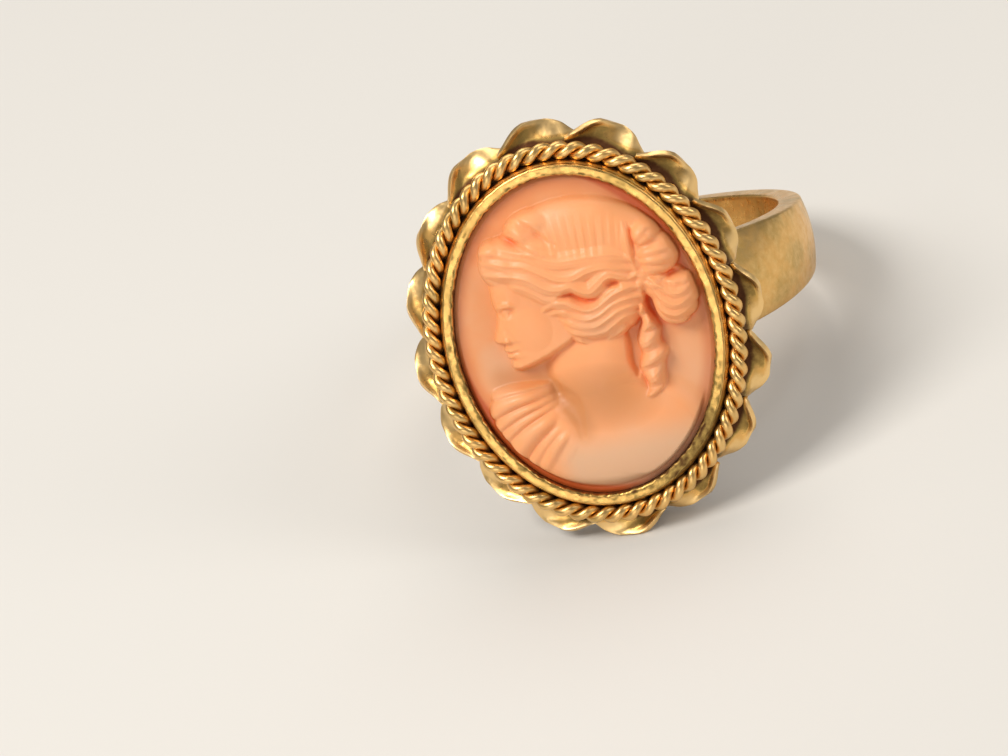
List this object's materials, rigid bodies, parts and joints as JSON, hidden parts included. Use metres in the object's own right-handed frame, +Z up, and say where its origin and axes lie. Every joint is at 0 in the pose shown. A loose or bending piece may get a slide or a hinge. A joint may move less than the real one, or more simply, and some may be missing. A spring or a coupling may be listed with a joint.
{
  "type": "cameo ring",
  "caption": "Gold finger ring with an oval carved coral cameo in a bezel, bordered by a twisted rope wire and a scalloped frill, lying on its side.",
  "frame": {"origin": "on the floor, under the middle of the box of the ring as it lies on its side", "axes": "+Z up; the head faces -Y and leans back; +X to the right of the cameo seen from the front"},
  "size_m": [0.019, 0.0232, 0.018],
  "materials": {
    "gold": "polished 9 ct yellow gold with worn edges and dark tarnish in the grooves",
    "coral": "carved salmon coral, waxy and slightly translucent"
  },
  "bodies": {
    "root": {"gold_mount": "gold", "cameo": "coral"}
  },
  "joints": []
}
